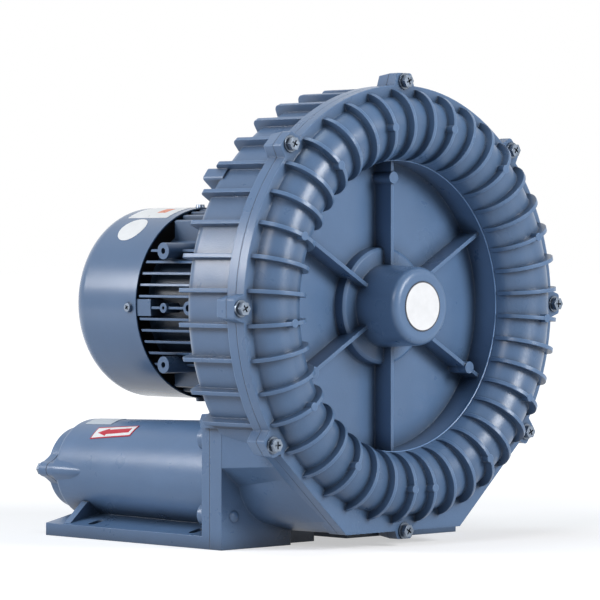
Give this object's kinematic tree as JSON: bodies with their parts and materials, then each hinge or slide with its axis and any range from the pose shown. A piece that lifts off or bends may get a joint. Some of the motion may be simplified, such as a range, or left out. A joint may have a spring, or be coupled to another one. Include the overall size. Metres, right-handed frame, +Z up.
{
  "type": "side channel blower",
  "caption": "Side channel blower: finned toroidal casing on a two-port base, silencer tubes with threaded ports, and a finned flange motor with a fan cowl.",
  "frame": {"origin": "on the floor plane, at the middle of the four foot slots, under the shaft", "axes": "+Z up; +Y along the shaft from the finned cover to the motor fan; +X to the side with the terminal box"},
  "size_m": [0.456, 0.4165, 0.463],
  "materials": {
    "casting": "semi-gloss grey-blue paint over cast aluminium",
    "cowl": "semi-gloss grey-blue paint on pressed sheet steel",
    "badge": "white film on a thin disc",
    "gasket": "dark sealing sheet",
    "zinc": "bright zinc plate",
    "foam": "open-cell foam",
    "steel": "ground steel",
    "impeller": "bare cast aluminium",
    "seal": "nitrile rubber",
    "lamination": "stacked electrical steel",
    "winding": "varnished copper wire",
    "fan": "black nylon",
    "board": "brown moulding compound",
    "brass": "plain brass",
    "gland": "grey nylon"
  },
  "bodies": {
    "housing": {"front_cover": "casting", "rear_casing": "casting", "left_silencer_body": "casting", "right_silencer_body": "casting", "left_port_flange": "casting", "right_port_flange": "casting", "motor_frame": "casting", "rear_end_shield": "casting", "terminal_box": "casting", "terminal_box_lid": "casting", "fan_cowl": "cowl", "hub_badge": "badge", "casing_gasket": "gasket", "left_silencer_gasket": "gasket", "right_silencer_gasket": "gasket", "port_gaskets": "gasket", "terminal_box_gasket": "gasket", "casing_bolts": "zinc", "casing_bolt_washers": "zinc", "silencer_bolts": "zinc", "port_bolts": "zinc", "motor_mount_bolts": "zinc", "end_shield_bolts": "zinc", "cowl_screws": "zinc", "terminal_lid_screws": "zinc", "foam_liners": "foam", "perforated_tubes": "steel", "front_outer_race": "steel", "rear_outer_race": "steel", "wave_washer": "steel", "front_shaft_seal": "seal", "rear_shaft_seal": "seal", "stator_core": "lamination", "stator_windings": "winding", "terminal_board": "board", "terminal_studs": "brass", "cable_gland": "gland"},
    "rotor": {"shaft": "steel", "impeller_key": "steel", "impeller": "impeller", "impeller_spacer": "steel", "lock_washer": "zinc", "shaft_nut": "zinc", "front_inner_race": "steel", "rear_inner_race": "steel", "rotor_core": "lamination", "rotor_end_rings": "impeller", "cooling_fan": "fan", "fan_circlip": "steel"},
    "front_balls": {"front_ball_set": "steel"},
    "rear_balls": {"rear_ball_set": "steel"}
  },
  "joints": [
    {"name": "rotor_spin", "type": "hinge", "parent": "housing", "child": "rotor", "pos_m": [0, -0.05, 0.235], "axis": [0, 1, 0], "continuous": true},
    {"name": "front_cage_spin", "type": "hinge", "parent": "housing", "child": "front_balls", "pos_m": [0, -0.204, 0.235], "axis": [0, 1, 0], "continuous": true},
    {"name": "rear_cage_spin", "type": "hinge", "parent": "housing", "child": "rear_balls", "pos_m": [0, 0.076, 0.235], "axis": [0, 1, 0], "continuous": true}
  ],
  "couplings": [
    {"joint": "front_cage_spin", "follows": "rotor_spin", "ratio": 0.3978},
    {"joint": "rear_cage_spin", "follows": "rotor_spin", "ratio": 0.3978}
  ]
}
